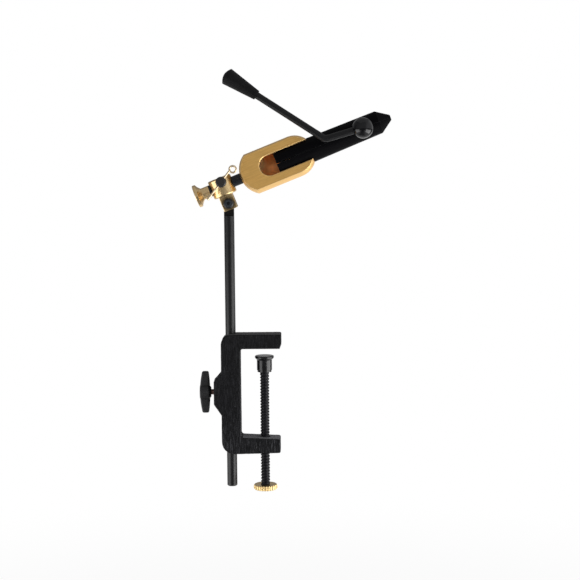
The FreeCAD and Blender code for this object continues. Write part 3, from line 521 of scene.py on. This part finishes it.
# Pieces
def piece_from(name, mesh, body, node_name):
    """A finished piece that rides on a body and stands for a CAD node."""
    ob = bpy.data.objects.new(name, mesh)
    bpy.context.scene.collection.objects.link(ob)
    ob.data.materials.clear()
    ob.data.materials.append(finish_of[node_name])
    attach(ob, body)
    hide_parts(node_name)
    return ob


def smooth_by_angle(mesh, degrees):
    """Smooth shading, but for the edges that turn by more than an angle."""
    bm = bmesh.new()
    bm.from_mesh(mesh)
    for f in bm.faces:
        f.smooth = True
    for e in bm.edges:
        e.smooth = len(e.link_faces) == 2 and e.calc_face_angle() < math.radians(degrees)
    bm.to_mesh(mesh)
    bm.free()


def ring_surface(name, rows):
    """A closed skin over rings of points, all of one length. The first and last are capped."""
    count = len(rows[0])
    points = [p for row in rows for p in row]
    faces = []
    for r in range(len(rows) - 1):
        for k in range(count):
            a = r * count + k
            b = r * count + (k + 1) % count
            faces.append((a, b, b + count, a + count))
    last = (len(rows) - 1) * count
    faces.append(tuple(reversed(range(count))))
    faces.append(tuple(last + k for k in range(count)))
    mesh = bpy.data.meshes.new(name)
    mesh.from_pydata(points, [], faces)
    mesh.update()
    return mesh


def round_row(at, radius_at, z, around):
    """A ring of points round a frame's Z. The radius may change with the angle."""
    row = []
    for k in range(around):
        angle = 2 * math.pi * k / around
        radius = radius_at(angle)
        row.append(at @ Vector((radius * math.cos(angle), radius * math.sin(angle), z)))
    return row


# A thread: its depth and pitch, the shares of the pitch that its crest and root fill, and its rings per turn
Thread = namedtuple("Thread", "depth pitch crest root per_turn")


def thread_cut(thread, turns):
    """How deep a thread is cut after a number of turns, 0 on its crest and 1 in its root."""
    away = abs(2.0 * (turns - math.floor(turns)) - 1.0)
    return min(1.0, max(0.0, (away - thread.crest) / (1.0 - thread.crest - thread.root)))


def threaded_rows(at, radius, thread, bar, cut, around, bevel):
    """Rings of a bar along a frame's Z, with bevelled ends, from the spans of the bar and of its thread."""
    start, end = bar
    cut_start, cut_end = cut
    pitch = thread.pitch
    steps = max(2, round((end - start) / pitch * thread.per_turn))
    rows = []
    for i in range(steps + 1):
        z = start + (end - start) * i / steps
        depth = thread.depth * min(1.0, max(0.0, (z - cut_start) / pitch), max(0.0, (cut_end - z) / pitch))
        outer = radius - max(0.0, bevel - min(z - start, end - z))

        def radius_at(angle):
            return min(outer, radius - depth * thread_cut(thread, z / pitch - angle / (2 * math.pi)))

        rows.append(round_row(at, radius_at, z, around))
    return rows


def clamp_spindle():
    """The clamp screw with a helical thread, its thin nose and its ball end."""
    low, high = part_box("clamp_screw")
    pad_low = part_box("clamp_pad")[0]
    knob_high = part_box("clamp_knob")[1]
    thread = Thread(depth=0.66 * MM, pitch=2.822 * MM, crest=0.34, root=0.26, per_turn=16)
    around = 48
    bevel = 0.6 * MM
    shoulder = pad_low.z - 0.5 * MM
    nose_radius = 2.4 * MM
    ball_radius = 3.4 * MM
    ball_z = high.z - ball_radius
    ball_steps = 12
    ball_top_radius = 0.02 * MM
    cut = (knob_high.z - 1.0 * MM, shoulder - bevel)
    rows = threaded_rows(UPRIGHT, high.x, thread, (low.z, shoulder), cut, around, bevel)
    neck = math.acos(nose_radius / ball_radius)
    sections = [(nose_radius, shoulder), (nose_radius, ball_z - ball_radius * math.sin(neck))]
    for i in range(1, ball_steps + 1):
        angle = -neck + (math.pi / 2 + neck) * i / ball_steps
        radius = max(ball_top_radius, ball_radius * math.cos(angle))
        sections.append((radius, ball_z + ball_radius * math.sin(angle)))
    for radius, z in sections:
        rows.append(round_row(UPRIGHT, lambda angle: radius, z, around))
    mesh = ring_surface("clamp_spindle", rows)
    smooth_by_angle(mesh, 40)
    piece_from("clamp_spindle", mesh, "screw", "clamp_screw")


def wing_thread():
    """The wing screw's shank, threaded past its plain neck."""
    low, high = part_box("wing_shank")
    radius = (high.z - low.z) / 2
    length = high.x - low.x
    neck = 2.5 * MM
    at = frame_at((low.x, 0, (low.z + high.z) / 2), (1, 0, 0))
    thread = Thread(depth=0.45 * MM, pitch=1.0 * MM, crest=0.15, root=0.15, per_turn=10)
    rows = threaded_rows(at, radius, thread, (0.0, length), (neck, length), around=36, bevel=0.4 * MM)
    mesh = ring_surface("wing_thread", rows)
    smooth_by_angle(mesh, 50)
    piece_from("wing_thread", mesh, "wing", "wing_shank")


def rubber_grip():
    """Tapered rubber grip with eight soft facets and a crowned end."""
    rod_rise = math.radians(54.6)
    bend_back = 35.2 * MM
    bend_up = 3.4 * MM
    rod_reach = 73.1 * MM
    axis = head_z * math.sin(rod_rise) - head_x * math.cos(rod_rise)
    ball_low, ball_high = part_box("lever_ball")
    bend = (ball_low + ball_high) / 2 - head_x * bend_back + head_z * bend_up
    at = frame_at(bend + axis * rod_reach, axis)

    # Radius and place of each section: rounded small end, taper, rounded rim, crown
    small = 4.55 * MM
    large = 7.8 * MM
    length = 32.4 * MM
    crown = 2.5 * MM
    small_round = 0.5 * MM
    small_corner = 0.15 * MM
    rim_round = 0.8 * MM
    rim_in = 0.25 * MM
    rim_down = 0.3 * MM
    taper_steps = 15
    crown_steps = 8
    crown_top_radius = 0.05 * MM
    taper = length - small_round - rim_round
    sections = [(small - small_round, 0.0), (small - small_corner, small_corner), (small, small_round)]
    for i in range(1, taper_steps):
        along = i / taper_steps
        sections.append((small + (large - small) * along, small_round + taper * along))
    sections += [(large, length - rim_round), (large - rim_in, length - rim_down)]
    rim = large - rim_round
    for i in range(crown_steps + 1):
        radius = rim * (1 - i / crown_steps)
        sections.append((max(radius, crown_top_radius), length + crown * (1 - (radius / rim) ** 2)))

    # The facets grow from nothing past a plain neck, and their corners are cut off by a circle
    around = 96
    facet = math.pi / 4
    facet_share = 0.55
    facet_circle = 1.035
    neck = 2 * MM
    growth = 8 * MM
    rows = []
    for radius, z in sections:
        share = facet_share * min(1.0, max(0.0, (z - neck) / growth))

        def radius_at(angle):
            flat = min(1.0, facet_circle * math.cos(facet / 2) / math.cos((angle % facet) - facet / 2))
            return radius * (1 - share + share * flat)

        rows.append(round_row(at, radius_at, z, around))
    mesh = ring_surface("rubber_grip", rows)
    smooth_by_angle(mesh, 40)
    piece_from("rubber_grip", mesh, "lever", "lever_grip")


def remeshed(name, source, voxel):
    """A copy of a mesh, made anew from voxels."""
    ob = bpy.data.objects.new(name, source.copy())
    bpy.context.scene.collection.objects.link(ob)
    remesh = ob.modifiers.new("remesh", "REMESH")
    remesh.mode = "VOXEL"
    remesh.voxel_size = voxel
    graph = bpy.context.evaluated_depsgraph_get()
    mesh = bpy.data.meshes.new_from_object(ob.evaluated_get(graph))
    bpy.data.objects.remove(ob)
    return mesh


def cast_dent(p):
    """How the casting's skin lies at a point, in mm, never above 0: lumps, and grooves drawn upright."""
    lump_size = 5.0 * MM
    small_lump_size = 1.7 * MM
    highest = 0.06
    lumps = noise.noise(p / lump_size) * 0.10 + noise.noise(p / small_lump_size) * 0.05
    grooves = noise.noise(Vector((p.x / (1.1 * MM), p.y / (3.0 * MM), p.z / (16 * MM)))) * 0.06
    return min(0.0, lumps + grooves - highest)


def casting():
    """The clamp's casting: the CAD frame with a slightly uneven, streaked skin. Its bores stay true."""
    mesh = remeshed("clamp_casting", NODES["clamp_frame"].data, 0.55 * MM)
    stem_bore = 4.8 * MM
    screw_bore = screw_radius + 0.05 * MM
    wing_bore = 2.85 * MM
    wing_bore_end = stem_x - 6 * MM
    on_bore = 0.4 * MM
    smooth_rim = 0.8 * MM
    smooth_fade = 1.5 * MM
    table_face = 0.3 * MM
    table_face_start = -20 * MM
    bm = bmesh.new()
    bm.from_mesh(mesh)
    bmesh.ops.smooth_vert(bm, verts=bm.verts, factor=0.5, use_axis_x=True, use_axis_y=True, use_axis_z=True)
    bm.normal_update()
    shifts = []
    for v in bm.verts:
        p = v.co
        bores = [(Vector((stem_x, 0, p.z)), stem_bore), (Vector((0, 0, p.z)), screw_bore)]
        if p.x < wing_bore_end:
            bores.append((Vector((p.x, 0, wing_z)), wing_bore))
        centre, radius = min(bores, key=lambda bore: (p - bore[0]).length - bore[1])
        beyond = (p - centre).length - radius
        if abs(beyond) < on_bore:
            shifts.append((p - centre).normalized() * -beyond)
            continue
        free = min(1.0, max(0.0, (beyond - smooth_rim) / smooth_fade))
        if abs(p.z) < table_face and p.x > table_face_start:
            free = 0.0
        shifts.append(v.normal * (cast_dent(p) * free * MM))
    for v, shift in zip(bm.verts, shifts):
        v.co += shift
    for f in bm.faces:
        f.smooth = True
    bm.to_mesh(mesh)
    bm.free()
    piece_from("clamp_casting", mesh, "clamp", "clamp_frame")


def coil_spring():
    """The spring between the jaws' rear ends, as a rigid copy riding on the head; the real spring shortens
    as the lever opens the jaws.
    """
    ob = piece_from("coil_spring", NODES["jaw_spring"].data.copy(), "head", "jaw_spring")
    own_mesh(ob)


clamp_spindle()
wing_thread()
rubber_grip()
casting()
coil_spring()

# Studio: floor and room are white where the camera sees them, and behind the part in its reflections
FLOOR_Z = -0.42
FLOOR_RADIUS = 6.0
FLOOR_GREY = (0.28, 0.28, 0.28, 1)
WHITE = (1, 1, 1, 1)
ROOM_TONE = (0.98, 0.985, 1.0, 1)
ROOM_FRONT = 0.49
ROOM_BACK = 0.22
ROOM_RIGHT = 0.6


def seen_share(tree, mirrored):
    """1 for the camera, and the given share for reflections and for light through glass."""
    path = add_node(tree, "LightPath").outputs
    bent = maths(tree, "MAXIMUM", path["Is Glossy Ray"], path["Is Transmission Ray"])
    return maths(tree, "MAXIMUM", path["Is Camera Ray"], maths(tree, "MULTIPLY", bent, mirrored))


def pale_floor():
    """A floor that glows white to the camera, with a faint shadow near the part, and is grey to the lamps.

    In reflections it glows in a wedge behind the part, and near the part behind and beside it.
    """
    mesh = bpy.data.meshes.new("floor")
    bm = bmesh.new()
    bmesh.ops.create_circle(bm, cap_ends=True, segments=96, radius=FLOOR_RADIUS)
    bm.to_mesh(mesh)
    bm.free()
    ob = bpy.data.objects.new("floor", mesh)
    ob.location = (0, 0, FLOOR_Z)
    bpy.context.scene.collection.objects.link(ob)
    mat = bpy.data.materials.new("floor_white")
    mat.use_nodes = True
    tree = mat.node_tree
    tree.nodes.clear()
    where = add_node(tree, "TexCoord").outputs["Object"]
    far = add_node(tree, "VectorMath", {"operation": "LENGTH"}, n0=where).outputs["Value"]
    place = add_node(tree, "SeparateXYZ", Vector=where).outputs
    aside = add_node(tree, "Math", {"operation": "ABSOLUTE"}, n0=place["X"]).outputs[0]
    wedge = ramp(tree, maths(tree, "DIVIDE", place["Y"], far), 0.55, 0.90)
    around = maths(tree, "MAXIMUM", ramp(tree, place["Y"], -0.10, 0.20), ramp(tree, aside, 0.15, 0.40))
    near = maths(tree, "MULTIPLY", ramp(tree, far, 0.7, 1.8, 1.0, 0.0), around)
    shadow_fade = ramp(tree, far, 0.35, 1.1, 0.93, 1.0)
    share = maths(tree, "MULTIPLY", seen_share(tree, maths(tree, "MAXIMUM", wedge, near)), shadow_fade)
    diffuse = add_node(tree, "BsdfDiffuse", Color=FLOOR_GREY).outputs[0]
    glow = add_node(tree, "Emission", Color=WHITE, Strength=1.0).outputs[0]
    both = add_node(tree, "MixShader", n0=share, n1=diffuse, n2=glow).outputs[0]
    add_node(tree, "OutputMaterial", Surface=both)
    mesh.materials.append(mat)


def studio_world():
    """White to the camera, and straight behind the part in reflections.

    Otherwise it is a grey room, brighter at its front and on its right.
    """
    world = bpy.data.worlds.new("studio")
    bpy.context.scene.world = world
    world.use_nodes = True
    tree = world.node_tree
    tree.nodes.clear()
    way = add_node(tree, "SeparateXYZ", Vector=add_node(tree, "TexCoord").outputs["Generated"]).outputs
    behind = ramp(tree, way["Y"], 0.88, 1.0)
    level = ramp(tree, way["Z"], -0.05, 0.12, 1.0, 0.4)
    front_to_back = ramp(tree, way["Y"], -0.9, 0.3, ROOM_FRONT, ROOM_BACK)
    right = ramp(tree, way["X"], 0.35, 0.80, 0.0, ROOM_RIGHT)
    strength = maths(tree, "ADD", front_to_back, right)
    room = add_node(tree, "Background", Color=ROOM_TONE, Strength=strength).outputs[0]
    white = add_node(tree, "Background", Color=WHITE, Strength=1.0).outputs[0]
    share = seen_share(tree, maths(tree, "MULTIPLY", behind, level))
    both = add_node(tree, "MixShader", n0=share, n1=room, n2=white).outputs[0]
    add_node(tree, "OutputWorld", Surface=both)


def softbox(name, location, size, watts, target):
    lamp = bpy.data.lights.new(name, "AREA")
    lamp.shape = "RECTANGLE"
    lamp.size, lamp.size_y = size
    lamp.energy = watts
    ob = bpy.data.objects.new(name, lamp)
    ob.location = location
    ob.rotation_euler = (Vector(target) - Vector(location)).to_track_quat("-Z", "Y").to_euler()
    ob.visible_camera = False
    bpy.context.scene.collection.objects.link(ob)


def studio_camera():
    """The photograph's view: slightly from above, and turned a little in the picture's plane."""
    pitch = math.radians(5.8)
    roll = math.radians(-0.45)
    forward = Vector((0, math.cos(pitch), -math.sin(pitch)))
    level_right = Vector((1, 0, 0))
    level_up = Vector((0, math.sin(pitch), math.cos(pitch)))
    right = level_right * math.cos(roll) + level_up * math.sin(roll)
    up = level_up * math.cos(roll) - level_right * math.sin(roll)
    data = bpy.data.cameras.new("camera")
    data.lens = 82.86
    data.sensor_width = 36.0
    ob = bpy.data.objects.new("camera", data)
    ob.matrix_world = Matrix((right, up, -forward)).transposed().to_4x4()
    ob.location = (0.02445, -1.235, 0.1793)
    bpy.context.scene.collection.objects.link(ob)
    bpy.context.scene.camera = ob


pale_floor()
studio_world()
middle = (0.02, 0.0, 0.04)
low_middle = (0.0, 0.0, -0.10)
softbox("left_box", location=(-0.60, -0.27, -0.20), size=(0.72, 0.42), watts=2.8, target=low_middle)
softbox("right_box", location=(0.64, -0.24, -0.20), size=(0.84, 0.42), watts=5.6, target=low_middle)
softbox("top_box", location=(0.0, 0.10, 1.35), size=(1.5, 1.5), watts=1.8, target=middle)
studio_camera()
bpy.context.scene.view_settings.view_transform = "Standard"
